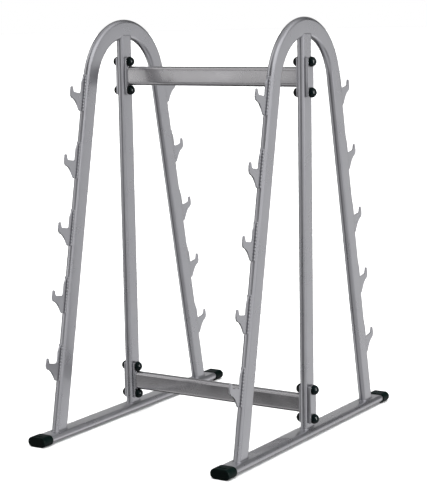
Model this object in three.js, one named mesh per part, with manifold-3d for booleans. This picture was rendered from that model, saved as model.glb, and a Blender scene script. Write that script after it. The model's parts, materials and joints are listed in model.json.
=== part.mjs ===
// Barbell storage rack: two splayed side frames with plate hooks, bolted to two crossbeams.
// Millimetres, +Z up. X runs along the crossbeams, Y along the base tubes, front towards -Y.
// The origin is on the floor, in the middle of the four feet.

import * as THREE from 'three';
import { mergeVertices } from 'three/addons/utils/BufferGeometryUtils.js';
import Module from 'manifold-3d';

const wasm = await Module();
wasm.setup();

// Flat-oval tube, the same stock for hoops, posts, bases and crossbeams
const tubeWidth = 70;
const tubeThickness = 28;
const tubeWall = 3;

// Side frames. The base tube runs on past the legs by the foot cap's sleeve and the leg clearance
const framePitch = 772;
const hoopHeight = 1500;
const hoopBendRadius = 216;
const legSplay = THREE.MathUtils.degToRad(11.23);
const legClearance = 46.6;
const baseClearance = 5;

// Crossbeams and their bolted joints. The upper beam's drop is taken from the inside of the bend
const upperBeamDrop = 138.5;
const lowerBeamHeight = 121.5;
const plateInset = 14;
const plateMargin = 14.7;
const plateThickness = 8;
const backingThickness = 12;
const plateCornerRadius = 3;
const boltRadius = 6;
const boltHoleRadius = 6.5;
const ventHoleRadius = 5;
const hexAcrossCorners = 21.9;
const boltHeadHeight = 7.5;
const nutHeight = 10.8;
const threadEnd = 2;

// Domed covers over the bolt heads and nuts
const domeRadius = 18;
const domeRimHeight = 2.5;
const domeFit = 0.4;
const domeClearance = 0.3;

// Hook plates, five on each leg. Heights and reaches are taken from the saddle's inner corner.
// The top saddle lies below the end of the bend, and the others are spaced evenly down to the lowest
const hookCount = 5;
const topSaddleDrop = 50;
const lowestSaddleHeight = 281;
const hookThickness = 6;
const hookRise = 61;
const hookDrop = 65;
const hookBackWidth = 15.5;
const hookTopWidth = 3.5;
const hookShoulderHeight = 36;
const hookFootWidth = 3;
const hookHeelReach = 33;
const hookHeelDrop = 55;
const hookUnderBend = 2.5;
const saddleWidth = 44.7;
const saddleTilt = 5;
const saddleCornerRadius = 6;
const saddleFilletRadius = 11;
const fingerHeight = 27.5;
const fingerThickness = 16.5;
const fingerTipInset = 2;
const fingerTipDrop = 6;
const fingerTipTaper = 4.5;
const toeDrop = 17;
const toeInset = 14.7;
const toeBend = 11;

// Moulded foot caps on the base tube ends
const footSleeve = 46;
const footEndWall = 6;
const footSideWall = 3;
const footTopWall = 3;
const footFit = 0.3;
const footEdgeRadius = 4;
const treadLength = 17;
const treadWidth = 37;
const treadDepth = 1.4;
const treadSetback = 6;
const treadRibCount = 6;
const treadRibWidth = 2.4;
const treadRibLow = 0.5;

// Gap left for the weld where one piece is cut to its neighbour, and overrun of every cut
const weldGap = 0.3;
const overrun = 20;

// Curve resolution
const noseSegments = 4;
const roundSegments = 12;
const holeSegments = 4;
const domeSegments = 4;
const bendSteps = 20;
const curveSegments = 3;
const cornerSegments = 2;

const half = (length) => length / 2;
const quarterTurn = Math.PI / 2;

const frameX = half(framePitch);
const baseTop = baseClearance + tubeThickness;
const bendCentreHeight = hoopHeight - half(tubeWidth) - hoopBendRadius;
const bendEndHeight = bendCentreHeight + hoopBendRadius * Math.sin(legSplay);
const bendSpan = Math.PI - 2 * legSplay;
const upperBeamHeight = hoopHeight - tubeWidth - upperBeamDrop;
const boltSpacing = tubeWidth + 2 * (domeRadius + domeClearance);
const plateHeight = boltSpacing + 2 * plateMargin;
const plateWidth = tubeWidth - 2 * plateInset;
const topSaddleHeight = bendEndHeight - topSaddleDrop;
const hookPitch = (topSaddleHeight - lowestSaddleHeight) / (hookCount - 1);
const baseTubeLength = 2 * (legCrest(baseTop) + legClearance + footSleeve);

const greyPaint = new THREE.MeshStandardMaterial({
  name: 'grey_paint', color: 0x9a9ca1, roughness: 0.42, metalness: 0.55,
});
const zincSteel = new THREE.MeshStandardMaterial({
  name: 'zinc_steel', color: 0xb4b6b8, roughness: 0.35, metalness: 0.9,
});
const glossBlack = new THREE.MeshStandardMaterial({
  name: 'gloss_black', color: 0x0b0b0c, roughness: 0.15, metalness: 0,
});
const footBlack = new THREE.MeshStandardMaterial({
  name: 'foot_black', color: 0x111314, roughness: 0.5, metalness: 0,
});

// Closed geometry to solid, and solid back to geometry
function solid(geometry) {
  const bare = geometry.clone();
  bare.deleteAttribute('normal');
  bare.deleteAttribute('uv');
  const merged = mergeVertices(bare);
  return new wasm.Manifold(new wasm.Mesh({
    numProp: 3,
    vertProperties: new Float32Array(merged.attributes.position.array),
    triVerts: new Uint32Array(merged.index.array),
  }));
}

function toGeometry(body) {
  const mesh = body.getMesh();
  const geometry = new THREE.BufferGeometry();
  geometry.setAttribute('position', new THREE.BufferAttribute(mesh.vertProperties, 3));
  geometry.setIndex(new THREE.BufferAttribute(mesh.triVerts, 1));
  geometry.computeVertexNormals();
  return geometry;
}

function piece(name, geometry, material) {
  const mesh = new THREE.Mesh(geometry, material);
  mesh.name = name;
  return mesh;
}

function box(width, depth, height) {
  return new THREE.BoxGeometry(width, depth, height);
}

// Flat-oval outline: thickness along the outline's x, width along its y
function flatOval(path, width, thickness) {
  const radius = half(thickness);
  const reach = half(width - thickness);
  path.moveTo(radius, -reach);
  path.lineTo(radius, reach);
  path.absarc(0, reach, radius, 0, Math.PI, false);
  path.lineTo(-radius, -reach);
  path.absarc(0, -reach, radius, Math.PI, 2 * Math.PI, false);
  return path;
}

function tubeSection() {
  const section = flatOval(new THREE.Shape(), tubeWidth, tubeThickness);
  section.holes.push(flatOval(new THREE.Path(), tubeWidth - 2 * tubeWall, tubeThickness - 2 * tubeWall));
  return section;
}

function straight(section, depth) {
  return new THREE.ExtrudeGeometry(section, { depth, bevelEnabled: false, curveSegments: noseSegments });
}

// Turns for geometry drawn in x and y and extruded along z
const alongX = new THREE.Matrix4().makeRotationFromEuler(new THREE.Euler(quarterTurn, quarterTurn, 0));
const alongY = new THREE.Matrix4().makeRotationFromEuler(new THREE.Euler(-quarterTurn, 0, -quarterTurn));

// Centre line of the inverted U, from one foot over the bend to the other, in the plane x = 0.
// One step runs down each leg, and equal steps go round the bend.
class HoopLine extends THREE.Curve {
  constructor() {
    super();
    this.legLength = (bendEndHeight - baseTop + overrun) / Math.cos(legSplay);
    this.stations = bendSteps + 2;
  }

  onBend(angle) {
    return new THREE.Vector3(
      0, hoopBendRadius * Math.cos(angle), bendCentreHeight + hoopBendRadius * Math.sin(angle),
    );
  }

  bendAngle(station) {
    const share = THREE.MathUtils.clamp((station - 1) / bendSteps, 0, 1);
    return legSplay + share * bendSpan;
  }

  getPoint(t, target = new THREE.Vector3()) {
    const station = t * this.stations;
    const angle = this.bendAngle(station);
    const past = Math.min(station - 1, 0) + Math.max(station - 1 - bendSteps, 0);
    return target.copy(this.onBend(angle)).addScaledVector(this.getTangent(t), past * this.legLength);
  }

  getTangent(t, target = new THREE.Vector3()) {
    const angle = this.bendAngle(t * this.stations);
    return target.set(0, -Math.sin(angle), Math.cos(angle));
  }

  getUtoTmapping(u) {
    return u;
  }
}

function alongHoop(section) {
  return new THREE.ExtrudeGeometry(section, {
    steps: bendSteps + 2, extrudePath: new HoopLine(), bevelEnabled: false, curveSegments: noseSegments,
  });
}

// Inverted-U hoop, its two legs cut level just above the base tube
function hoopGeometry() {
  const reach = tubeThickness + 2 * overrun;
  const below = box(reach, baseTubeLength, 2 * overrun + tubeWidth);
  below.translate(0, 0, baseTop + weldGap - half(2 * overrun + tubeWidth));
  return toGeometry(solid(alongHoop(tubeSection())).subtract(solid(below)));
}

function boltHole(height) {
  const length = tubeThickness + overrun;
  const hole = new THREE.CylinderGeometry(boltHoleRadius, boltHoleRadius, length, 2 * holeSegments);
  hole.rotateZ(quarterTurn);
  hole.translate(0, 0, height);
  return solid(hole);
}

// Centre post, coped to the inside of the bend and drilled for the crossbeam bolts
function postGeometry() {
  const foot = baseTop + weldGap;
  const post = straight(tubeSection(), hoopHeight - half(tubeWidth) - foot);
  post.translate(0, 0, foot);
  const envelope = flatOval(new THREE.Shape(), tubeWidth + 2 * weldGap, tubeThickness + 2 * weldGap);
  let body = solid(post).subtract(solid(alongHoop(envelope)));
  for (const height of [upperBeamHeight, lowerBeamHeight]) {
    for (const side of [-1, 1]) {
      body = body.subtract(boltHole(height + side * half(boltSpacing)));
    }
  }
  return toGeometry(body);
}

function baseTubeGeometry() {
  const tube = straight(tubeSection(), baseTubeLength);
  tube.translate(0, 0, -half(baseTubeLength));
  tube.applyMatrix4(alongY);
  tube.translate(0, 0, baseClearance + half(tubeThickness));
  return tube;
}

// Joint plate outline: height along x, width along y, a bolt hole near each end
function plateShape(centreHole) {
  const height = half(plateHeight);
  const width = half(plateWidth);
  const corner = plateCornerRadius;
  const shape = new THREE.Shape();
  shape.moveTo(height, -width + corner);
  shape.absarc(height - corner, width - corner, corner, 0, quarterTurn, false);
  shape.absarc(-height + corner, width - corner, corner, quarterTurn, Math.PI, false);
  shape.absarc(-height + corner, -width + corner, corner, Math.PI, Math.PI + quarterTurn, false);
  shape.absarc(height - corner, -width + corner, corner, -quarterTurn, 0, false);
  for (const side of [-1, 1]) {
    const hole = new THREE.Path();
    hole.absarc(side * half(boltSpacing), 0, boltHoleRadius, 0, 2 * Math.PI, true);
    shape.holes.push(hole);
  }
  if (centreHole) {
    const vent = new THREE.Path();
    vent.absarc(0, 0, ventHoleRadius, 0, 2 * Math.PI, true);
    shape.holes.push(vent);
  }
  return shape;
}

function plateGeometry(centreHole, thickness) {
  return new THREE.ExtrudeGeometry(plateShape(centreHole), {
    depth: thickness, bevelEnabled: false, curveSegments: holeSegments,
  });
}

// Crossbeam weldment: the tube with an end plate across each end, vented through the plates
function crossbeamGeometry() {
  const inside = frameX - half(tubeThickness);
  const seam = half(plateThickness);
  const span = 2 * (inside - plateThickness + seam);
  const tube = straight(tubeSection(), span);
  tube.translate(0, 0, -half(span));
  tube.applyMatrix4(alongX);
  let body = solid(tube);
  for (const side of [-1, 1]) {
    const plate = plateGeometry(true, plateThickness);
    plate.rotateY(side * quarterTurn);
    plate.translate(side * (inside - plateThickness), 0, 0);
    body = body.add(solid(plate));
  }
  return toGeometry(body);
}

// Hook plate outline. x reaches out from the crest of the leg's nose, y is height above the saddle
function hookShape() {
  const lean = Math.tan(legSplay);
  const crest = (height) => weldGap / Math.cos(legSplay) - lean * height;
  const innerWall = (height) => hookBackWidth - lean * height;
  const fingerInside = hookBackWidth + saddleWidth;
  const fingerOutside = fingerInside + fingerThickness;
  const tipInside = fingerInside + fingerTipInset;
  const tipOutside = fingerOutside - fingerTipTaper;
  const shape = new THREE.Shape();
  shape.moveTo(crest(-hookDrop), -hookDrop);
  shape.lineTo(crest(-hookDrop) + hookFootWidth, -hookDrop);
  shape.quadraticCurveTo(hookHeelReach - hookFootWidth, -hookDrop, hookHeelReach, -hookHeelDrop);
  shape.quadraticCurveTo(
    half(hookHeelReach + fingerOutside - toeInset), hookUnderBend - half(hookHeelDrop),
    fingerOutside - toeInset, -toeDrop,
  );
  shape.quadraticCurveTo(fingerOutside, -toeBend, fingerOutside, 0);
  shape.quadraticCurveTo(fingerOutside, half(fingerHeight), tipOutside, fingerHeight - fingerTipDrop);
  shape.quadraticCurveTo(tipOutside, fingerHeight, half(tipInside + tipOutside), fingerHeight);
  shape.quadraticCurveTo(tipInside, fingerHeight, tipInside, fingerHeight - fingerTipDrop);
  shape.lineTo(fingerInside, saddleTilt + saddleFilletRadius);
  shape.quadraticCurveTo(fingerInside, saddleTilt, fingerInside - saddleFilletRadius, saddleTilt);
  shape.lineTo(hookBackWidth + saddleCornerRadius, 0);
  shape.quadraticCurveTo(hookBackWidth, 0, innerWall(saddleCornerRadius), saddleCornerRadius);
  shape.lineTo(innerWall(hookShoulderHeight), hookShoulderHeight);
  shape.quadraticCurveTo(
    innerWall(half(hookShoulderHeight + hookRise)), half(hookShoulderHeight + hookRise),
    crest(hookRise) + hookTopWidth, hookRise,
  );
  shape.lineTo(crest(hookRise), hookRise);
  return shape;
}

function hookGeometry() {
  const plate = new THREE.ExtrudeGeometry(hookShape(), {
    depth: hookThickness, bevelEnabled: false, curveSegments,
  });
  plate.translate(0, 0, -half(hookThickness));
  return plate;
}

// Distance of the crest of a leg's outer nose from the middle of the frame, at a height
function legCrest(height) {
  const fromCentre = (hoopBendRadius + half(tubeWidth)) / Math.cos(legSplay);
  return fromCentre + (bendCentreHeight - height) * Math.tan(legSplay);
}

function hexagon(height, low) {
  const prism = new THREE.CylinderGeometry(half(hexAcrossCorners), half(hexAcrossCorners), height, 6);
  prism.rotateX(quarterTurn);
  prism.translate(0, 0, low + half(height));
  return solid(prism);
}

// Hex bolt with its nut, along z. The head's seat is at z = 0 and the shank runs to -z
function boltGeometry() {
  const grip = tubeThickness + plateThickness + backingThickness;
  const length = grip + nutHeight + threadEnd;
  const shank = new THREE.CylinderGeometry(boltRadius, boltRadius, length + half(boltHeadHeight), roundSegments);
  shank.rotateX(quarterTurn);
  shank.translate(0, 0, half(boltHeadHeight) - half(length + half(boltHeadHeight)));
  const head = hexagon(boltHeadHeight, 0);
  const nut = hexagon(nutHeight, -grip - nutHeight);
  return toGeometry(head.add(nut).add(solid(shank)));
}

// Domed cover, open below, with its rim on z = 0 and its crown at +z
function domeGeometry() {
  const bore = half(hexAcrossCorners) + domeFit;
  const boreDepth = nutHeight + threadEnd + domeFit;
  const profile = [
    new THREE.Vector2(0, boreDepth),
    new THREE.Vector2(bore, boreDepth),
    new THREE.Vector2(bore, 0),
    new THREE.Vector2(domeRadius, 0),
  ];
  for (let step = 0; step <= domeSegments; step += 1) {
    const angle = quarterTurn * step / domeSegments;
    const radius = step === domeSegments ? 0 : domeRadius * Math.cos(angle);
    profile.push(new THREE.Vector2(radius, domeRimHeight + domeRadius * Math.sin(angle)));
  }
  const dome = new THREE.LatheGeometry(profile, roundSegments);
  dome.rotateX(quarterTurn);
  return dome;
}

// Foot cap, drawn with its end wall towards +Y and y = 0 at the tube's end
function footGeometry() {
  const width = tubeWidth + 2 * footSideWall;
  const height = baseTop + footTopWall;
  const core = half(height);
  const length = footSleeve + footEndWall;
  const outer = new THREE.ExtrudeGeometry(flatOval(new THREE.Shape(), width, height), {
    depth: length - footEdgeRadius + overrun,
    bevelThickness: footEdgeRadius, bevelSize: footEdgeRadius, bevelOffset: -footEdgeRadius,
    bevelSegments: cornerSegments, curveSegments: noseSegments,
  });
  outer.translate(0, 0, -footSleeve - overrun);
  outer.applyMatrix4(alongY);
  outer.translate(0, 0, core);
  const rear = box(2 * width, 2 * overrun, 2 * height);
  rear.translate(0, -footSleeve - overrun, core);
  const socket = straight(
    flatOval(new THREE.Shape(), tubeWidth + 2 * footFit, tubeThickness + 2 * footFit), footSleeve + overrun,
  );
  socket.translate(0, 0, -footSleeve - overrun);
  socket.applyMatrix4(alongY);
  socket.translate(0, 0, baseClearance + half(tubeThickness));
  return toGeometry(solid(outer).subtract(solid(rear)).subtract(solid(socket)).subtract(treadCut(height)));
}

// Shallow ribbed tread in the top of a foot cap
function treadCut(height) {
  const middle = footEndWall - treadSetback - half(treadLength);
  const pocket = box(treadWidth, treadLength, 2 * treadDepth);
  pocket.translate(0, middle, height);
  let cut = solid(pocket);
  const pitch = treadWidth / treadRibCount;
  for (let index = 0; index < treadRibCount; index += 1) {
    const rib = box(treadRibWidth, treadLength, 2 * treadDepth);
    rib.translate((index - half(treadRibCount - 1)) * pitch, middle, height - treadRibLow - treadDepth);
    cut = cut.subtract(solid(rib));
  }
  return cut;
}

const sides = { left: -1, right: 1 };
const ends = { front: -1, back: 1 };
const levels = { upper: upperBeamHeight, lower: lowerBeamHeight };
const places = { high: 1, low: -1 };

const hoop = hoopGeometry();
const post = postGeometry();
const baseTube = baseTubeGeometry();
const hook = hookGeometry();
const foot = footGeometry();
const crossbeam = crossbeamGeometry();
const plate = plateGeometry(false, backingThickness);
const bolt = boltGeometry();
const dome = domeGeometry();

function sideFrame(side) {
  const frame = new THREE.Group();
  frame.position.x = sides[side] * frameX;
  frame.add(piece(`${side}_hoop`, hoop, greyPaint));
  frame.add(piece(`${side}_post`, post, greyPaint));
  frame.add(piece(`${side}_base_tube`, baseTube, greyPaint));
  for (const [end, facing] of Object.entries(ends)) {
    for (let index = 0; index < hookCount; index += 1) {
      const height = topSaddleHeight - index * hookPitch;
      const plateHook = piece(`${side}_${end}_hook_${index + 1}`, hook, greyPaint);
      plateHook.position.set(0, facing * legCrest(height), height);
      plateHook.rotation.set(quarterTurn, facing * quarterTurn, 0);
      frame.add(plateHook);
    }
    const cap = piece(`${side}_${end}_foot_cap`, foot, footBlack);
    cap.position.y = facing * half(baseTubeLength);
    cap.rotation.z = facing < 0 ? Math.PI : 0;
    frame.add(cap);
  }
  return frame;
}

// Bolted joint at one post, drawn with z outwards from the middle of the post
function joint(side, level) {
  const stack = new THREE.Group();
  const outerFace = half(tubeThickness) + backingThickness;
  const innerFace = half(tubeThickness) + plateThickness;
  stack.position.set(sides[side] * frameX, 0, levels[level]);
  stack.rotation.y = sides[side] * quarterTurn;
  const backing = piece(`${side}_${level}_backing_plate`, plate, greyPaint);
  backing.position.z = half(tubeThickness);
  stack.add(backing);
  for (const [place, direction] of Object.entries(places)) {
    const along = -sides[side] * direction * half(boltSpacing);
    const fastener = piece(`${side}_${level}_bolt_${place}`, bolt, zincSteel);
    fastener.position.set(along, 0, outerFace);
    stack.add(fastener);
    const outerDome = piece(`${side}_${level}_outer_dome_${place}`, dome, glossBlack);
    outerDome.position.set(along, 0, outerFace);
    stack.add(outerDome);
    const innerDome = piece(`${side}_${level}_inner_dome_${place}`, dome, glossBlack);
    innerDome.position.set(along, 0, -innerFace);
    innerDome.rotation.x = Math.PI;
    stack.add(innerDome);
  }
  return stack;
}

const rack = new THREE.Group();
for (const side of Object.keys(sides)) {
  rack.add(sideFrame(side));
  for (const level of Object.keys(levels)) {
    rack.add(joint(side, level));
  }
}
for (const [level, height] of Object.entries(levels)) {
  const beam = piece(`${level}_crossbeam`, crossbeam, greyPaint);
  beam.position.z = height;
  rack.add(beam);
}

export default rack;
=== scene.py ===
import json
import math

import bmesh
import bpy
from mathutils import Matrix, Vector

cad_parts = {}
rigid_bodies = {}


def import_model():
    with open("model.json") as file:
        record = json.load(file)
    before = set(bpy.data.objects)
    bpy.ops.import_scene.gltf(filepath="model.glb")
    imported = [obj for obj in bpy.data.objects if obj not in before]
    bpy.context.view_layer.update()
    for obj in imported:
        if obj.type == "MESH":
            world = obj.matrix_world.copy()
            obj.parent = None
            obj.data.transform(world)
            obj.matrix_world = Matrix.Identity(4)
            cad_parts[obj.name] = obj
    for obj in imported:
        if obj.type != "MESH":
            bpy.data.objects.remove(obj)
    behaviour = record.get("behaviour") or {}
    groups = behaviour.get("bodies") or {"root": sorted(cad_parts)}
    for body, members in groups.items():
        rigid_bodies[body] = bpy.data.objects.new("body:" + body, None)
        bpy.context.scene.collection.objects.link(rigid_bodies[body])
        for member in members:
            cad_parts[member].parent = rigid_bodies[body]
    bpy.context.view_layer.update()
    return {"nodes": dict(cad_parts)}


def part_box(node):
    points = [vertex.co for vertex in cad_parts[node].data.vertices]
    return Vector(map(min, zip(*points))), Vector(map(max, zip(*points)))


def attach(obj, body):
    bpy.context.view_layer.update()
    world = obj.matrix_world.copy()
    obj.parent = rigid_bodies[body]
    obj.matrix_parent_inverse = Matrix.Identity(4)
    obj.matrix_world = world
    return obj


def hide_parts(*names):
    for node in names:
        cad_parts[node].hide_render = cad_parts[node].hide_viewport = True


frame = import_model()
nodes = frame["nodes"]

# Barbell storage rack. Sizes are in millimetres, as in the part's source; Blender works in metres
MM = 0.001
TUBE_WIDTH = 70
TUBE_THICKNESS = 28
FRAME_PITCH = 772
HOOP_HEIGHT = 1500
BEND_RADIUS = 216
SPLAY = math.radians(11.23)
BASE_TOP = 33
WELD_GAP = 0.3
PLATE_THICKNESS = 8
BACKING_THICKNESS = 12
PLATE_WIDTH = 42
PLATE_HEIGHT = 136
HOOK_THICKNESS = 6
HOOK_COUNT = 5
TOP_SADDLE_DROP = 50
LOWEST_SADDLE = 281

FRAME_X = FRAME_PITCH / 2
NOSE = TUBE_THICKNESS / 2
BEND_CENTRE = HOOP_HEIGHT - TUBE_WIDTH / 2 - BEND_RADIUS
BEND_END = BEND_CENTRE + BEND_RADIUS * math.sin(SPLAY)
SIDES = {"left": -1, "right": 1}
ENDS = {"front": -1, "back": 1}
LEVELS = ("upper", "lower")
PLACES = ("high", "low")
MERGE_DISTANCE = 0.01
# Beads round a foot or a beam's end run on a ring this much wider than the tube. Those on a base
# tube lie this high over it
WELD_SPREAD = 2
WELD_SEAT = 0.4

# The camera: its place in metres, its turn, tilt and roll in degrees, its focal length in pixels
CAMERA_PLACE = (2.941037, -4.581827, 1.506911)
CAMERA_TURN, CAMERA_TILT, CAMERA_ROLL = 32.7258, 8.8946, -1.0418
FOCAL_PIXELS = 1494.247
PICTURE_HEIGHT = 500
SENSOR_WIDTH = 36

# Softboxes round the rack: azimuth from +X towards +Y and elevation in degrees, distance and size
# in metres, power in watts. All face the middle of the rack
SOFTBOXES = (
    ("key_softbox", 25, 18, 5.0, (1.4, 4.0), 13.0),
    ("front_softbox", 236, 3, 5.0, (1.4, 0.9), 4.5),
    ("left_softbox", 216, 3, 5.0, (1.4, 0.9), 1.0),
    ("near_softbox", 221, 4, 3.0, (0.7, 0.7), 0.7),
    ("strip_light", 353, 10, 4.0, (0.6, 3.4), 480.0),
)
# Height of the middle of the rack in metres
RACK_MIDDLE = 0.75
# Glow of the studio's walls and floor: azimuth, elevation and half width in degrees,
# and brightness, which is full over the inner third and fades to nothing at the half width
GLOWS = (
    (5, 0, 34, 1.0),
    (57, -13, 30, 0.85),
    (50, -40, 25, 0.8),
    (30, 35, 35, 0.7),
    (120, -10, 50, 0.5),
    (210, -28, 35, 1.0),
    (210, 32, 35, 1.2),
    (240, 5, 14, 0.7),
    (265, 5, 25, 0.6),
    (318, 0, 24, 0.9),
    (335, 35, 35, 1.3),
    (320, -60, 50, 0.8),
    (0, 80, 60, 0.5),
)
GLOW_CORE = 0.35
# Overhead light: strength of the sun lamp and its spread in degrees
OVERHEAD = 4.0
OVERHEAD_SPREAD = 70


def set_camera():
    bpy.ops.object.camera_add(location=CAMERA_PLACE)
    camera = bpy.context.object
    camera.rotation_mode = "QUATERNION"
    turn = Matrix.Rotation(math.radians(CAMERA_TURN), 3, "Z")
    tilt = Matrix.Rotation(math.radians(90 - CAMERA_TILT), 3, "X")
    roll = Matrix.Rotation(math.radians(CAMERA_ROLL), 3, "Z")
    camera.rotation_quaternion = (turn @ tilt @ roll).to_quaternion()
    camera.data.sensor_width = SENSOR_WIDTH
    camera.data.lens = FOCAL_PIXELS / PICTURE_HEIGHT * SENSOR_WIDTH
    camera.data.clip_start = 0.05
    camera.data.clip_end = 400
    bpy.context.scene.camera = camera


def linear(hex_colour):
    parts = [int(hex_colour[i:i + 2], 16) / 255 for i in (1, 3, 5)]
    return [c / 12.92 if c <= 0.04045 else ((c + 0.055) / 1.055) ** 2.4 for c in parts] + [1.0]


def add_node(tree, kind, settings=None, links=None):
    """A new node with its settings (sockets or properties) and its input links."""
    node = tree.nodes.new(kind)
    for key, value in (settings or {}).items():
        if isinstance(key, str) and hasattr(node, key):
            setattr(node, key, value)
        else:
            node.inputs[key].default_value = value
    for key, (source, output) in (links or {}).items():
        tree.links.new(source.outputs[output], node.inputs[key])
    return node


def new_material(name):
    material = bpy.data.materials.new(name)
    material.use_nodes = True
    material.node_tree.nodes.clear()
    return material, material.node_tree


def finish_material(tree, shader):
    add_node(tree, "ShaderNodeOutputMaterial", links={"Surface": (shader, "BSDF")})


# Silver metallic paint on welded steel: aluminium flake in a clear binder, sprayed.
# It gives a soft silver sheen, with fine grain and faint cloudiness where the spray overlapped
def silver_paint(name, light, dark, mottle_mm, mottle_depth, smooth, rough):
    material, tree = new_material(name)
    place = add_node(tree, "ShaderNodeTexCoord")
    # flake: real flakes are about 0.05 mm, drawn at 1.6 mm so that the grain shows at all
    flake = add_node(tree, "ShaderNodeTexNoise", {"Scale": 1 / (1.6 * MM), "Detail": 2.0},
                     {"Vector": (place, "Object")})
    # spray cloudiness, about 90 mm across
    cloud = add_node(tree, "ShaderNodeTexNoise", {"Scale": 1 / (90 * MM), "Detail": 3.0},
                     {"Vector": (place, "Object")})
    mottle = add_node(tree, "ShaderNodeTexNoise", {"Scale": 1 / (mottle_mm * MM), "Detail": 4.0,
                      "Roughness": 0.6}, {"Vector": (place, "Object")})
    grain = add_node(tree, "ShaderNodeMath", {"operation": "MULTIPLY_ADD", 1: 0.2},
                     {0: (flake, "Fac"), 2: (cloud, "Fac")})
    blend = add_node(tree, "ShaderNodeMath", {"operation": "MULTIPLY_ADD", 1: mottle_depth},
                     {0: (mottle, "Fac"), 2: (grain, "Value")})
    colour = add_node(tree, "ShaderNodeMapRange", {"From Min": 0.35, "From Max": 0.95 + mottle_depth},
                      {"Value": (blend, "Value")})
    paint = add_node(tree, "ShaderNodeMix", {"data_type": "RGBA", 6: linear(dark), 7: linear(light)},
                     {0: (colour, "Result")})
    gloss = add_node(tree, "ShaderNodeMapRange", {"From Min": 0.3, "From Max": 0.7, "To Min": smooth,
                     "To Max": rough}, {"Value": (cloud, "Fac")})
    # orange peel of the sprayed film, 2.5 mm across
    peel = add_node(tree, "ShaderNodeTexNoise", {"Scale": 1 / (2.5 * MM), "Detail": 1.0},
                    {"Vector": (place, "Object")})
    relief = add_node(tree, "ShaderNodeBump", {"Strength": 0.05, "Distance": 0.0002},
                      {"Height": (peel, "Fac")})
    shader = add_node(tree, "ShaderNodeBsdfPrincipled",
                      {"Metallic": 0.85, "Coat Weight": 0.75, "Coat Roughness": 0.05},
                      {"Base Color": (paint, 2), "Roughness": (gloss, "Result"),
                       "Normal": (relief, "Normal")})
    finish_material(tree, shader)
    return material


# Zinc-plated steel of the bolts and nuts: cool, bright metal with a fine crystalline grain
def zinc_plate():
    material, tree = new_material("zinc_plated_steel")
    place = add_node(tree, "ShaderNodeTexCoord")
    grain = add_node(tree, "ShaderNodeTexVoronoi", {"Scale": 1 / (1.2 * MM)}, {"Vector": (place, "Object")})
    tint = add_node(tree, "ShaderNodeMix",
                    {"data_type": "RGBA", 6: linear("#B2B5B8"), 7: linear("#C9CBCC")},
                    {0: (grain, "Color")})
    gloss = add_node(tree, "ShaderNodeMapRange", {"To Min": 0.26, "To Max": 0.36},
                     {"Value": (grain, "Distance")})
    shader = add_node(tree, "ShaderNodeBsdfPrincipled", {"Metallic": 1.0},
                      {"Base Color": (tint, 2), "Roughness": (gloss, "Result")})
    finish_material(tree, shader)
    return material


# Black polyethylene snap covers, moulded in a polished tool: deep gloss, faint scuffs 6 mm wide
def gloss_polyethylene():
    material, tree = new_material("gloss_black_polyethylene")
    place = add_node(tree, "ShaderNodeTexCoord")
    scuff = add_node(tree, "ShaderNodeTexNoise", {"Scale": 1 / (6 * MM), "Detail": 5.0},
                     {"Vector": (place, "Object")})
    tint = add_node(tree, "ShaderNodeMix",
                    {"data_type": "RGBA", 6: linear("#000303"), 7: linear("#02090A")},
                    {0: (scuff, "Fac")})
    gloss = add_node(tree, "ShaderNodeMapRange", {"From Min": 0.35, "From Max": 0.7, "To Min": 0.16,
                     "To Max": 0.24}, {"Value": (scuff, "Fac")})
    shader = add_node(tree, "ShaderNodeBsdfPrincipled", {"IOR": 1.5, "Specular IOR Level": 0.12},
                      {"Base Color": (tint, 2), "Roughness": (gloss, "Result")})
    finish_material(tree, shader)
    return material


# Black PVC foot caps, moulded in a spark-eroded tool: satin, with a fine pebbled grain
def satin_pvc():
    material, tree = new_material("satin_black_pvc")
    place = add_node(tree, "ShaderNodeTexCoord")
    # grain of the tool, really 0.2 mm, drawn at 0.8 mm so that it shows
    grain = add_node(tree, "ShaderNodeTexNoise", {"Scale": 1 / (0.8 * MM), "Detail": 2.0},
                     {"Vector": (place, "Object")})
    # dust and wear in patches about 18 mm across
    dust = add_node(tree, "ShaderNodeTexNoise", {"Scale": 1 / (18 * MM), "Detail": 4.0},
                    {"Vector": (place, "Object")})
    tint = add_node(tree, "ShaderNodeMix",
                    {"data_type": "RGBA", 6: linear("#000403"), 7: linear("#020A09")},
                    {0: (dust, "Fac")})
    gloss = add_node(tree, "ShaderNodeMapRange", {"From Min": 0.3, "From Max": 0.7, "To Min": 0.34,
                     "To Max": 0.48}, {"Value": (dust, "Fac")})
    relief = add_node(tree, "ShaderNodeBump", {"Strength": 0.25, "Distance": 0.0002},
                      {"Height": (grain, "Fac")})
    shader = add_node(tree, "ShaderNodeBsdfPrincipled", {"IOR": 1.53, "Specular IOR Level": 0.05},
                      {"Base Color": (tint, 2), "Roughness": (gloss, "Result"),
                       "Normal": (relief, "Normal")})
    finish_material(tree, shader)
    return material


def deselect_all():
    if bpy.context.mode != "OBJECT":
        bpy.ops.object.mode_set(mode="OBJECT")
    bpy.ops.object.select_all(action="DESELECT")


def make_active(piece):
    deselect_all()
    piece.select_set(True)
    bpy.context.view_layer.objects.active = piece


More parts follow.
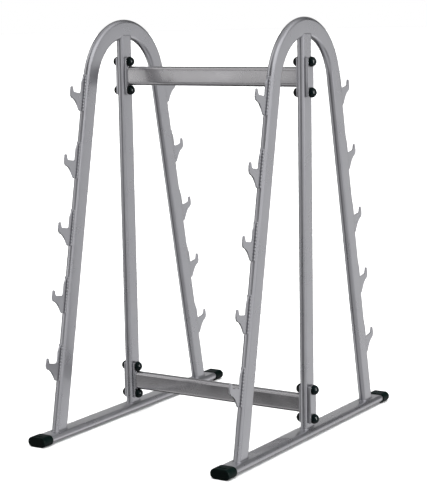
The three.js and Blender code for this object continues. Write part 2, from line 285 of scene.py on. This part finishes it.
def pick(piece, faces=None, edges=None, verts=None):
    """In edit mode, selects only what the test accepts. It is given a face's middle and normal, an
    edge's middle and the line along it, or a vertex's place, in millimetres."""
    bpy.ops.mesh.select_mode(type="FACE" if faces else "EDGE" if edges else "VERT")
    mesh = bmesh.from_edit_mesh(piece.data)
    for element in (*mesh.verts, *mesh.edges, *mesh.faces):
        element.select = False
    if faces:
        for face in mesh.faces:
            if faces(face.calc_center_median() / MM, face.normal):
                face.select_set(True)
    if edges:
        for edge in mesh.edges:
            ends = [v.co / MM for v in edge.verts]
            if edges((ends[0] + ends[1]) / 2, ends[1] - ends[0]):
                edge.select_set(True)
    if verts:
        for vert in mesh.verts:
            if verts(vert.co / MM):
                vert.select_set(True)
    mesh.select_flush_mode()
    bmesh.update_edit_mesh(piece.data)


def new_block(name, centre, size):
    deselect_all()
    bpy.ops.mesh.primitive_cube_add(size=1, location=[c * MM for c in centre], scale=[s * MM for s in size])
    block = bpy.context.object
    block.name = name
    bpy.ops.object.transform_apply(location=True, rotation=True, scale=True)
    return block


def edit(piece):
    make_active(piece)
    bpy.ops.object.mode_set(mode="EDIT")


def done(piece, angle=35):
    """Merges doubles, points the faces outwards and shades smooth the edges below the angle."""
    bpy.ops.object.mode_set(mode="EDIT")
    bpy.ops.mesh.select_all(action="SELECT")
    bpy.ops.mesh.remove_doubles(threshold=MERGE_DISTANCE * MM)
    bpy.ops.mesh.normals_make_consistent(inside=False)
    bpy.ops.object.mode_set(mode="OBJECT")
    bpy.ops.object.shade_smooth_by_angle(angle=math.radians(angle))
    return piece


def bevel_modifier(piece, width_mm, segments, angle):
    make_active(piece)
    bevel = piece.modifiers.new("rounded edges", "BEVEL")
    bevel.width = width_mm * MM
    bevel.segments = segments
    bevel.limit_method = "ANGLE"
    bevel.angle_limit = math.radians(angle)
    bpy.ops.object.modifier_apply(modifier=bevel.name)


def cut_away(piece, cutter):
    make_active(piece)
    cut = piece.modifiers.new("cut", "BOOLEAN")
    cut.operation = "DIFFERENCE"
    cut.object = cutter
    cut.solver = "EXACT"
    bpy.ops.object.modifier_apply(modifier=cut.name)
    bpy.data.objects.remove(cutter)


def flat_oval_bar(name, centre, size, run, segments=12):
    """A bar along the axis `run`, its section a flat oval: the shorter side is rounded right over."""
    bar = new_block(name, centre, size)
    edit(bar)
    pick(bar, edges=lambda middle, line: abs(line[run]) > size[run] * 0.9)
    across = min(size[i] for i in range(3) if i != run)
    bpy.ops.mesh.bevel(offset=across / 2 * MM, segments=segments, profile=0.5, affect="EDGES",
                       clamp_overlap=False)
    return done(bar)


def copy_to(source, name, matrix):
    copy = source.copy()
    copy.data = source.data.copy()
    copy.name = name
    bpy.context.scene.collection.objects.link(copy)
    copy.data.transform(matrix)
    return copy


def at(x=0.0, y=0.0, z=0.0):
    return Matrix.Translation(Vector((x, y, z)) * MM)


def turned(degrees, axis):
    return Matrix.Rotation(math.radians(degrees), 4, axis)


def finish_piece(piece, material, replaces=()):
    piece.data.materials.clear()
    piece.data.materials.append(material)
    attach(piece, "root")
    if replaces:
        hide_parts(*replaces)


def extrude_by(x, y, z):
    bpy.ops.mesh.extrude_region_move(TRANSFORM_OT_translate={"value": (x * MM, y * MM, z * MM)})


def draw_line(name, points, closed):
    """A chain of edges through the points, drawn by extruding one vertex after the other."""
    deselect_all()
    bpy.ops.mesh.primitive_plane_add(size=MM, location=(0, 0, 0))
    line = bpy.context.object
    line.name = name
    edit(line)
    bpy.ops.mesh.select_mode(type="VERT")
    bpy.ops.mesh.select_all(action="SELECT")
    bpy.ops.mesh.merge(type="CENTER")
    bpy.ops.transform.translate(value=Vector(points[0]) * MM)
    for before, after in zip(points, points[1:]):
        extrude_by(*(Vector(after) - Vector(before)))
    if closed:
        extrude_by(*(Vector(points[0]) - Vector(points[-1])))
        bpy.ops.mesh.select_all(action="SELECT")
        bpy.ops.mesh.remove_doubles(threshold=MERGE_DISTANCE * MM)
    return line


# Weld beads: a round run along a line, with lumps of about the grain's size, swelling once a stitch
def weld_bead(name, line, radius, lump, grain, stitch=0.0, swell=0.0):
    make_active(line)
    bpy.ops.object.convert(target="CURVE")
    bead = bpy.context.object
    bead.name = name
    points = bead.data.splines[0].points
    if stitch:
        run = 0.0
        for before, point in zip([points[0], *points], points):
            run += (point.co - before.co).length / MM
            point.radius = 1 + swell * math.sin(2 * math.pi * run / stitch)
    bead.data.bevel_depth = radius * MM
    bead.data.bevel_resolution = 2
    bead.data.use_fill_caps = True
    bpy.ops.object.convert(target="MESH")
    lumps = bpy.data.textures.new(name, "CLOUDS")
    lumps.noise_scale = grain * MM
    lumps.noise_depth = 1
    push = bead.modifiers.new("lumps", "DISPLACE")
    push.texture = lumps
    push.texture_coords = "LOCAL"
    push.strength = lump * 2 * MM
    push.mid_level = 0.5
    bpy.ops.object.modifier_apply(modifier=push.name)
    bpy.data.textures.remove(lumps)
    return done(bead, angle=75)


def oval_ring(width_x, length_y, step=1.6):
    """Points round a flat oval in the horizontal plane, evenly spaced, in millimetres."""
    radius = width_x / 2
    flat = length_y / 2 - radius
    points = []
    count = max(2, round(2 * flat / step))
    turns = max(6, round(math.pi * radius / step))
    for side in (1, -1):
        points += [(side * radius, side * (-flat + 2 * flat * i / count)) for i in range(count)]
        for i in range(turns):
            angle = math.pi * i / turns
            points.append((side * radius * math.cos(angle), side * (flat + radius * math.sin(angle))))
    return points


def ring_weld(name, ring, radius, lump, grain):
    return weld_bead(name, draw_line(name, ring, True), radius, lump, grain)


# Weld round the head of a post, at the inside of the bend: a ring laid onto the hoop from below
def model_head_weld():
    narrower, longer, widen, sink = 0.4, 1.5, 1.03, 0.5
    radius = BEND_RADIUS - TUBE_WIDTH / 2 + NOSE
    points = []
    for x, y in oval_ring(TUBE_THICKNESS - narrower, TUBE_WIDTH + longer):
        inner = radius - math.sqrt(NOSE ** 2 - x ** 2)
        points.append((x * widen, y, BEND_CENTRE + math.sqrt(inner ** 2 - y ** 2) - sink))
    bead_radius, lump, grain = 1.9, 0.4, 6.0
    return ring_weld("head_weld", points, bead_radius, lump, grain)


def leg_crest(height):
    """How far out the leg's outer nose lies at a height."""
    return (BEND_RADIUS + TUBE_WIDTH / 2) / math.cos(SPLAY) + (BEND_CENTRE - height) * math.tan(SPLAY)


def leg_centre(height):
    """How far out the leg's middle line lies at a height."""
    return BEND_RADIUS / math.cos(SPLAY) + (BEND_CENTRE - height) * math.tan(SPLAY)


# Hoop: flat-oval tube, straight up one leg, round the bend and down the other
def model_hoop():
    segments, bend_steps, stub, overrun, tolerance = 12, 72, 20, 40, 0.05
    foot = BASE_TOP + WELD_GAP
    start = Vector((0, BEND_RADIUS * math.cos(SPLAY), BEND_END))
    hoop = new_block("hoop", (0, 0, 0), (TUBE_THICKNESS, TUBE_WIDTH, stub))
    edit(hoop)
    pick(hoop, edges=lambda middle, line: abs(line.z) > stub * 0.75)
    bpy.ops.mesh.bevel(offset=NOSE * MM, segments=segments, profile=0.5, affect="EDGES", clamp_overlap=False)
    # only the outline of the stub's lower end is kept, as the section that is spun round the bend
    pick(hoop, faces=lambda middle, normal: middle.z > -stub * 0.45)
    bpy.ops.mesh.delete(type="FACE")
    bpy.ops.mesh.select_all(action="SELECT")
    bpy.ops.mesh.remove_doubles(threshold=MERGE_DISTANCE * MM)
    bpy.ops.mesh.delete(type="ONLY_FACE")
    bpy.ops.object.mode_set(mode="OBJECT")
    hoop.data.transform(at(*start) @ turned(math.degrees(SPLAY), "X") @ at(0, 0, stub / 2))
    bpy.ops.object.mode_set(mode="EDIT")
    bpy.ops.mesh.select_all(action="SELECT")
    bpy.ops.mesh.spin(steps=bend_steps, angle=math.pi - 2 * SPLAY, center=(0, 0, BEND_CENTRE * MM),
                      axis=(-1, 0, 0))
    # the two open ends of the bend are drawn down past the base and cut off level there
    run = (BEND_END - foot + overrun) / math.cos(SPLAY)
    for side in (1, -1):
        pick(hoop, verts=lambda p: abs((p.y - side * start.y) * math.sin(SPLAY) * side
                                       - (p.z - start.z) * math.cos(SPLAY)) < tolerance and p.y * side > 0)
        extrude_by(0, side * run * math.sin(SPLAY), -run * math.cos(SPLAY))
    bpy.ops.mesh.select_all(action="SELECT")
    bpy.ops.mesh.bisect(plane_co=(0, 0, foot * MM), plane_no=(0, 0, 1), clear_inner=True, use_fill=True)
    return done(hoop)


def curve_points(start, control, end, steps=7):
    """Points of the curve from start to end that leans towards the control point, without start."""
    points = []
    for i in range(1, steps + 1):
        t = i / steps
        points.append(tuple((1 - t) ** 2 * a + 2 * t * (1 - t) * b + t ** 2 * c
                            for a, b, c in zip(start, control, end)))
    return points


# Hook plate, drawn as the laser cuts it. y runs out from the crest of the leg, z up from the saddle
def hook_outline():
    lean = math.tan(SPLAY)
    rise, drop, back, top, shoulder, foot = 61, 65, 15.5, 3.5, 36, 3
    heel_reach, heel_drop, under_bend, saddle, tilt = 33, 55, 2.5, 44.7, 5
    corner, fillet, finger, thick = 6, 11, 27.5, 16.5
    tip_inset, tip_drop, tip_taper = 2, 6, 4.5
    toe_drop, toe_inset, toe_bend = 17, 14.7, 11

    def crest(height):
        return WELD_GAP / math.cos(SPLAY) - lean * height

    def wall(height):
        return back - lean * height

    inside = back + saddle
    outside = inside + thick
    tip_inside, tip_outside = inside + tip_inset, outside - tip_taper
    points = [(crest(-drop), -drop), (crest(-drop) + foot, -drop)]
    points += curve_points(points[-1], (heel_reach - foot, -drop), (heel_reach, -heel_drop))
    points += curve_points(points[-1], ((heel_reach + outside - toe_inset) / 2, under_bend - heel_drop / 2),
                           (outside - toe_inset, -toe_drop), steps=12)
    points += curve_points(points[-1], (outside, -toe_bend), (outside, 0))
    points += curve_points(points[-1], (outside, finger / 2), (tip_outside, finger - tip_drop))
    points += curve_points(points[-1], (tip_outside, finger), ((tip_inside + tip_outside) / 2, finger))
    points += curve_points(points[-1], (tip_inside, finger), (tip_inside, finger - tip_drop))
    points.append((inside, tilt + fillet))
    points += curve_points(points[-1], (inside, tilt), (inside - fillet, tilt))
    points.append((back + corner, 0))
    points += curve_points(points[-1], (back, 0), (wall(corner), corner), steps=4)
    points.append((wall(shoulder), shoulder))
    points += curve_points(points[-1], (wall((shoulder + rise) / 2), (shoulder + rise) / 2),
                           (crest(rise) + top, rise))
    points.append((crest(rise), rise))
    return points


def model_hook():
    hook = draw_line("hook", [(-HOOK_THICKNESS / 2, y, z) for y, z in hook_outline()], True)
    bpy.ops.mesh.edge_face_add()
    extrude_by(HOOK_THICKNESS, 0, 0)
    done(hook)
    bevel_modifier(hook, width_mm=0.6, segments=2, angle=50)
    return done(hook, angle=30)


# Weld round the foot of a hook plate: down one face of it, across below, up the other and across above
def model_hook_weld():
    lean = math.tan(SPLAY)
    out, proud, rise, drop = 5.0, 0.3, 62, 63
    steps, end_steps = 84, 4
    points = []
    for side in (1, -1):
        for i in range(steps):
            height = side * (rise - (rise + drop) * i / steps) - (0 if side > 0 else drop - rise)
            points.append((side * out, -lean * height + proud, height))
        end = -side * (rise if side < 0 else drop)
        for i in range(end_steps):
            across = side * out * (1 - 2 * (i + 0.5) / end_steps)
            points.append((across, -lean * end + proud, end))
    radius, lump, grain, stitch, swell = 3.8, 0.5, 4.5, 11.5, 0.17
    return weld_bead("hook_weld", draw_line("hook_weld", points, True), radius, lump, grain, stitch, swell)


# Joint plate with rounded corners and well eased edges, its thickness along X
def model_plate(name, thickness):
    corner, ease = 3, 2.6
    plate = new_block(name, (0, 0, 0), (thickness, PLATE_WIDTH, PLATE_HEIGHT))
    edit(plate)
    pick(plate, edges=lambda middle, line: abs(line.x) > thickness * 0.9)
    bpy.ops.mesh.bevel(offset=corner * MM, segments=5, affect="EDGES")
    done(plate)
    bevel_modifier(plate, width_mm=ease, segments=5, angle=60)
    return done(plate, angle=40)


# Domed cover: a low rim, then a full dome, crown towards +X, and a well for the bolt in its back
def model_dome():
    radius, rim, lip, wall, well_depth = 18, 2.5, 1.2, 5.3, 13
    deselect_all()
    bpy.ops.mesh.primitive_uv_sphere_add(segments=40, ring_count=24, radius=radius * MM,
                                         location=(0, 0, 0))
    dome = bpy.context.object
    dome.name = "dome"
    edit(dome)
    bpy.ops.mesh.select_all(action="SELECT")
    bpy.ops.mesh.bisect(plane_co=(0, 0, 0), plane_no=(0, 0, 1), clear_inner=True, use_fill=True)
    pick(dome, faces=lambda middle, normal: normal.z < -0.9)
    extrude_by(0, 0, -rim)
    bpy.ops.mesh.inset(thickness=lip * MM)
    bpy.ops.mesh.inset(thickness=wall * MM)
    extrude_by(0, 0, well_depth)
    bpy.ops.object.mode_set(mode="OBJECT")
    dome.data.transform(turned(90, "Y") @ at(0, 0, rim))
    return done(dome, angle=50)


# Foot cap: a flat oval, drawn solid with the base tube's end inside it. Its front edge is well
# rounded and a ribbed tread is let into its top
def model_foot_cap():
    length, width, height, overhang = 52, 76, 36, 6
    front_round, mouth_round, near, level = 4, 0.8, 0.1, 0.01
    cap = flat_oval_bar("foot_cap", (0, -overhang + length / 2, height / 2), (width, length, height), 1, 16)
    edit(cap)
    pick(cap, edges=lambda middle, line: middle.y < near - overhang and abs(line.y) < level)
    bpy.ops.mesh.bevel(offset=front_round * MM, segments=5, profile=0.5, affect="EDGES")
    pick(cap, edges=lambda middle, line: middle.y > length - overhang - near and abs(line.y) < level)
    bpy.ops.mesh.bevel(offset=mouth_round * MM, segments=2, profile=0.5, affect="EDGES")
    done(cap, angle=40)
    tread_width, tread_length, tread_depth, setback = 37, 17, 1.4, 6
    ribs, rib_width, rib_low = 6, 2.4, 0.5
    middle = setback - overhang + tread_length / 2
    pitch = tread_width / ribs
    lowered = new_block("lowered", (0, middle, height), (tread_width, tread_length, 2 * rib_low))
    edges = [-tread_width / 2] + [(i - (ribs - 1) / 2) * pitch + side * rib_width / 2
                                  for i in range(ribs) for side in (-1, 1)] + [tread_width / 2]
    grooves = [new_block("groove", ((a + b) / 2, middle, height), (b - a, tread_length, 2 * tread_depth))
               for a, b in zip(edges[::2], edges[1::2])]
    for cutter in (lowered, *grooves):
        cut_away(cap, cutter)
    return done(cap, angle=40)


def make_materials():
    return {
        "paint": silver_paint("silver_metallic_paint", "#A9A9AE", "#9E9EA3",
                              mottle_mm=5.0, mottle_depth=0.15, smooth=0.26, rough=0.31),
        "beam": silver_paint("silver_metallic_paint_mottled", "#A8A6A8", "#8E8D90",
                             mottle_mm=4.0, mottle_depth=0.9, smooth=0.21, rough=0.29),
        "bolt": zinc_plate(),
        "dome": gloss_polyethylene(),
        "foot_cap": satin_pvc(),
    }


def dress_nodes(materials):
    """Gives each CAD node the material whose word is in its name, and the paint where none is."""
    for name, node in nodes.items():
        word = next((word for word in ("bolt", "dome", "foot_cap", "beam") if word in name), "paint")
        for slot in node.material_slots:
            slot.material = materials[word]


# What repeats is modelled once, copied into place, and deleted at the end
def model_patterns():
    bead_radius, lump, beam_lump, grain = 2.2, 0.35, 0.6, 5.0
    ring_width, ring_length = TUBE_THICKNESS + WELD_SPREAD, TUBE_WIDTH + WELD_SPREAD
    splayed_length = TUBE_WIDTH / math.cos(SPLAY) + WELD_SPREAD
    foot_ring = [(x, y, 0) for x, y in oval_ring(ring_width, splayed_length)]
    post_ring = [(x, y, 0) for x, y in oval_ring(ring_width, ring_length)]
    beam_ring = [(0, x, y) for x, y in oval_ring(ring_width, ring_length)]
    return {
        "hoop": model_hoop(),
        "hook": model_hook(),
        "hook_weld": model_hook_weld(),
        "end_plate": model_plate("end_plate", PLATE_THICKNESS),
        "backing": model_plate("backing", BACKING_THICKNESS),
        "dome": model_dome(),
        "foot_cap": model_foot_cap(),
        "head_weld": model_head_weld(),
        "leg_weld": ring_weld("leg_weld", foot_ring, bead_radius, lump, grain),
        "post_weld": ring_weld("post_weld", post_ring, bead_radius, lump, grain),
        "beam_weld": ring_weld("beam_weld", beam_ring, bead_radius, beam_lump, grain),
    }


# Side frame: hoop, post and base tube, their welds, the hooks and the foot caps
def build_side_frame(side, x, patterns, materials):
    def paint_copy(pattern, name, place, replaces=()):
        finish_piece(copy_to(patterns[pattern], name, place), materials["paint"], replaces)

    paint_copy("hoop", f"{side}_hoop_tube", at(x), [f"{side}_hoop"])
    foot = BASE_TOP + WELD_GAP
    # the post ends flat inside the hoop's inner round, this much below the round's widest level
    below = 0.6
    post_top = HOOP_HEIGHT - TUBE_WIDTH + NOSE - below
    post = flat_oval_bar(f"{side}_post_tube", (x, 0, (foot + post_top) / 2),
                         (TUBE_THICKNESS, TUBE_WIDTH, post_top - foot), 2)
    finish_piece(post, materials["paint"], [f"{side}_post"])
    base_low, base_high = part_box(f"{side}_base_tube")
    base_length = (base_high.y - base_low.y) / MM
    base = flat_oval_bar(f"{side}_base_oval_tube", (x, 0, BASE_TOP - NOSE),
                         (TUBE_WIDTH, base_length, TUBE_THICKNESS), 1)
    finish_piece(base, materials["paint"], [f"{side}_base_tube"])
    paint_copy("post_weld", f"{side}_post_foot_weld", at(x, 0, BASE_TOP + WELD_SEAT))
    paint_copy("head_weld", f"{side}_post_head_weld", at(x))
    top = BEND_END - TOP_SADDLE_DROP
    pitch = (top - LOWEST_SADDLE) / (HOOK_COUNT - 1)
    for end, facing in ENDS.items():
        leg_foot = at(x, facing * leg_centre(BASE_TOP), BASE_TOP + WELD_SEAT)
        paint_copy("leg_weld", f"{side}_{end}_leg_weld", leg_foot)
        cap_place = at(x, facing * base_length / 2, 0) @ turned(180 if facing > 0 else 0, "Z")
        finish_piece(copy_to(patterns["foot_cap"], f"{side}_{end}_foot_cap_moulding", cap_place),
                     materials["foot_cap"], [f"{side}_{end}_foot_cap"])
        flip = turned(0 if facing > 0 else 180, "Z")
        for number in range(1, HOOK_COUNT + 1):
            height = top - pitch * (number - 1)
            place = at(x, facing * leg_crest(height), height) @ flip
            hook = f"{side}_{end}_hook_{number}"
            paint_copy("hook", f"{hook}_plate", place, [hook])
            paint_copy("hook_weld", f"{hook}_weld", place)


# Bolted joint of a post: the plate on its outer face and the domed covers on both
def build_joint(side, sign, level, patterns, materials):
    backing = f"{side}_{level}_backing_plate"
    low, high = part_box(backing)
    finish_piece(copy_to(patterns["backing"], f"{side}_{level}_outer_plate", at(*(low + high) / 2 / MM)),
                 materials["paint"], [backing])
    for place in PLACES:
        for face, away in (("outer", sign), ("inner", -sign)):
            name = f"{side}_{level}_{face}_dome_{place}"
            low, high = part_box(name)
            centre = (low + high) / 2 / MM
            seat = (low.x if away > 0 else high.x) / MM
            spot = at(seat, centre.y, centre.z) @ turned(0 if away > 0 else 180, "Z")
            finish_piece(copy_to(patterns["dome"], f"{name}_cover", spot), materials["dome"],
                         [name])


# Crossbeam: the tube, its two end plates and the welds between them
def build_crossbeam(level, patterns, materials):
    weld_inset = 0.5
    low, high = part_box(f"{level}_crossbeam")
    height = (low.z + high.z) / 2 / MM
    reach = high.x / MM - PLATE_THICKNESS
    beam = flat_oval_bar(f"{level}_crossbeam_tube", (0, 0, height),
                         (2 * reach, TUBE_THICKNESS, TUBE_WIDTH), 0)
    finish_piece(beam, materials["beam"], [f"{level}_crossbeam"])
    for side, sign in SIDES.items():
        plate_place = at(sign * (reach + PLATE_THICKNESS / 2), 0, height)
        finish_piece(copy_to(patterns["end_plate"], f"{side}_{level}_end_plate", plate_place),
                     materials["paint"])
        weld_place = at(sign * (reach - weld_inset), 0, height)
        finish_piece(copy_to(patterns["beam_weld"], f"{side}_{level}_beam_weld", weld_place),
                     materials["paint"])


def build():
    materials = make_materials()
    dress_nodes(materials)
    patterns = model_patterns()
    for side, sign in SIDES.items():
        build_side_frame(side, sign * FRAME_X, patterns, materials)
        for level in LEVELS:
            build_joint(side, sign, level, patterns, materials)
    for level in LEVELS:
        build_crossbeam(level, patterns, materials)
    for pattern in patterns.values():
        bpy.data.objects.remove(pattern)


def direction(azimuth, elevation):
    across, up = math.radians(azimuth), math.radians(elevation)
    return Vector((math.cos(across) * math.cos(up), math.sin(across) * math.cos(up), math.sin(up)))


# Pale floor inside a white backdrop, sizes in metres
def make_stage():
    floor_size, backdrop_radius = 300, 140
    deselect_all()
    bpy.ops.mesh.primitive_plane_add(size=floor_size, location=(0, 0, 0))
    floor = bpy.context.object
    floor.name = "floor"
    material, tree = new_material("pale_floor")
    shader = add_node(tree, "ShaderNodeBsdfPrincipled", {"Base Color": linear("#F4F4F4"), "Roughness": 0.9})
    finish_material(tree, shader)
    floor.data.materials.append(material)
    deselect_all()
    bpy.ops.mesh.primitive_uv_sphere_add(segments=32, ring_count=16, radius=backdrop_radius,
                                         location=(0, 0, 0))
    backdrop = bpy.context.object
    backdrop.name = "backdrop"
    material, tree = new_material("white_backdrop")
    glow = add_node(tree, "ShaderNodeEmission", {"Strength": 1.0})
    add_node(tree, "ShaderNodeOutputMaterial", links={"Surface": (glow, "Emission")})
    backdrop.data.materials.append(material)
    # both stay out of the rack's reflections and bounce no light on it
    for screen in (floor, backdrop):
        screen.visible_glossy = False
        screen.visible_diffuse = False
    backdrop.visible_shadow = False


# The world's colour is the sum of the glows
def make_glows():
    world = bpy.data.worlds.new("studio")
    bpy.context.scene.world = world
    world.use_nodes = True
    tree = world.node_tree
    view = add_node(tree, "ShaderNodeTexCoord")
    total = add_node(tree, "ShaderNodeCombineXYZ")
    for azimuth, elevation, half_width, brightness in GLOWS:
        toward = add_node(tree, "ShaderNodeVectorMath",
                          {"operation": "DOT_PRODUCT", 1: direction(azimuth, elevation)},
                          {0: (view, "Generated")})
        edge, core = math.radians(half_width), math.radians(half_width * GLOW_CORE)
        glow = add_node(tree, "ShaderNodeMapRange",
                        {"interpolation_type": "SMOOTHSTEP", "From Min": math.cos(edge),
                         "From Max": math.cos(core)}, {"Value": (toward, "Value")})
        total = add_node(tree, "ShaderNodeVectorMath",
                         {"operation": "MULTIPLY_ADD", 1: (brightness,) * 3},
                         {0: (glow, "Result"), 2: (total, "Vector")})
    tree.links.new(total.outputs["Vector"], tree.nodes["Background"].inputs["Color"])


def make_lights():
    for name, azimuth, elevation, distance, size, power in SOFTBOXES:
        away = direction(azimuth, elevation)
        middle = Vector((0, 0, RACK_MIDDLE))
        bpy.ops.object.light_add(type="AREA", location=middle + away * distance)
        light = bpy.context.object
        light.name = name
        light.data.shape = "RECTANGLE"
        light.data.size, light.data.size_y = size
        light.data.energy = power
        light.visible_camera = False
        light.rotation_euler = (-away).to_track_quat("-Z", "Y").to_euler()
    # the strip light shines on the black mouldings alone: it draws their soft upright highlight
    mouldings = bpy.data.collections.new("black_mouldings")
    for piece in bpy.context.scene.objects:
        if piece.name.endswith(("_cover", "_moulding")):
            mouldings.objects.link(piece)
    bpy.data.objects["strip_light"].light_linking.receiver_collection = mouldings
    bpy.ops.object.light_add(type="SUN", location=(0, 0, 5))
    overhead = bpy.context.object
    overhead.name = "overhead"
    overhead.data.angle = math.radians(OVERHEAD_SPREAD)
    overhead.data.energy = OVERHEAD
    overhead.visible_glossy = False


set_camera()
build()
make_stage()
make_glows()
make_lights()
bpy.context.scene.view_settings.view_transform = "Standard"
bpy.context.view_layer.update()
